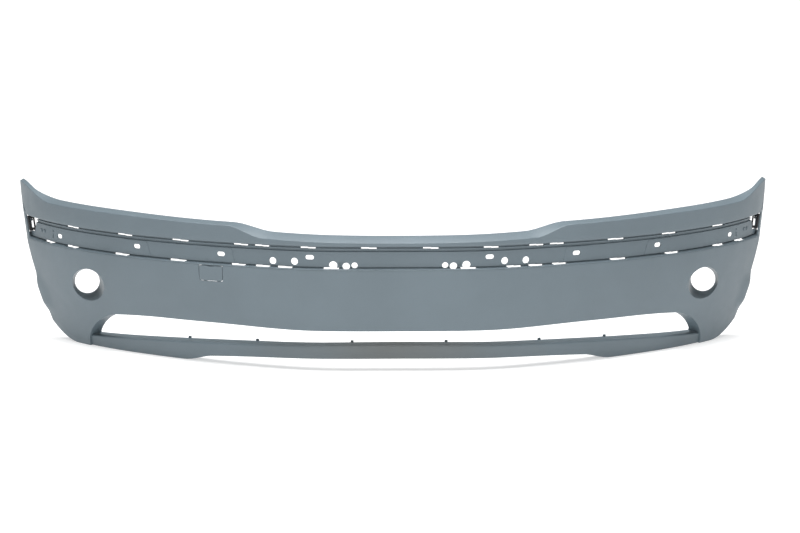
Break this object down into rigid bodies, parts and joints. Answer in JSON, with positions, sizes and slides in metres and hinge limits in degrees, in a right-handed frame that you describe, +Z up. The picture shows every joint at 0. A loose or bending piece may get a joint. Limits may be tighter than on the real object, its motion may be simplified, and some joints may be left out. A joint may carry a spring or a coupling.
{
  "type": "bumper cover",
  "caption": "Front bumper cover of a saloon car: moulded skin with a trim channel, round fog lamp holes, a low air intake over a lower bar, and a hinged towing-eye flap.",
  "frame": {"origin": "under the middle of the bounding box, on the plane of the lowest faces", "axes": "+X across the car, to the right as seen from in front, -Y forwards, +Z up"},
  "size_m": [1.7026, 0.5078, 0.35],
  "materials": {
    "primed_skin": "satin grey-blue primer on plastic",
    "primed_bar": "satin grey-blue primer on plastic",
    "black_plastic": "moulded, satin",
    "zinc_steel": "zinc plated",
    "black_steel": "black coated"
  },
  "bodies": {
    "cover": {"arch_nut_left_1": "zinc_steel", "arch_nut_left_2": "zinc_steel", "arch_nut_left_3": "zinc_steel", "arch_nut_right_1": "zinc_steel", "arch_nut_right_2": "zinc_steel", "arch_nut_right_3": "zinc_steel", "bar_screw_left_1": "black_steel", "bar_screw_left_2": "black_steel", "bar_screw_right_1": "black_steel", "bar_screw_right_2": "black_steel", "bumper_skin": "primed_skin", "end_guide_left": "black_plastic", "end_guide_right": "black_plastic", "guide_rivet_left_1": "primed_skin", "guide_rivet_left_2": "primed_skin", "guide_rivet_right_1": "primed_skin", "guide_rivet_right_2": "primed_skin", "lower_bar": "primed_bar", "undertray_nut_left_1": "zinc_steel", "undertray_nut_left_2": "zinc_steel", "undertray_nut_left_3": "zinc_steel", "undertray_nut_right_1": "zinc_steel", "undertray_nut_right_2": "zinc_steel", "undertray_nut_right_3": "zinc_steel"},
    "flap": {"tow_eye_flap": "primed_skin"}
  },
  "joints": [
    {"name": "flap_hinge", "type": "hinge", "parent": "cover", "child": "flap", "pos_m": [-0.40644, -0.17292, 0.1877], "axis": [0.9215, -0.3883, 0], "range_deg": [0, 80]}
  ]
}
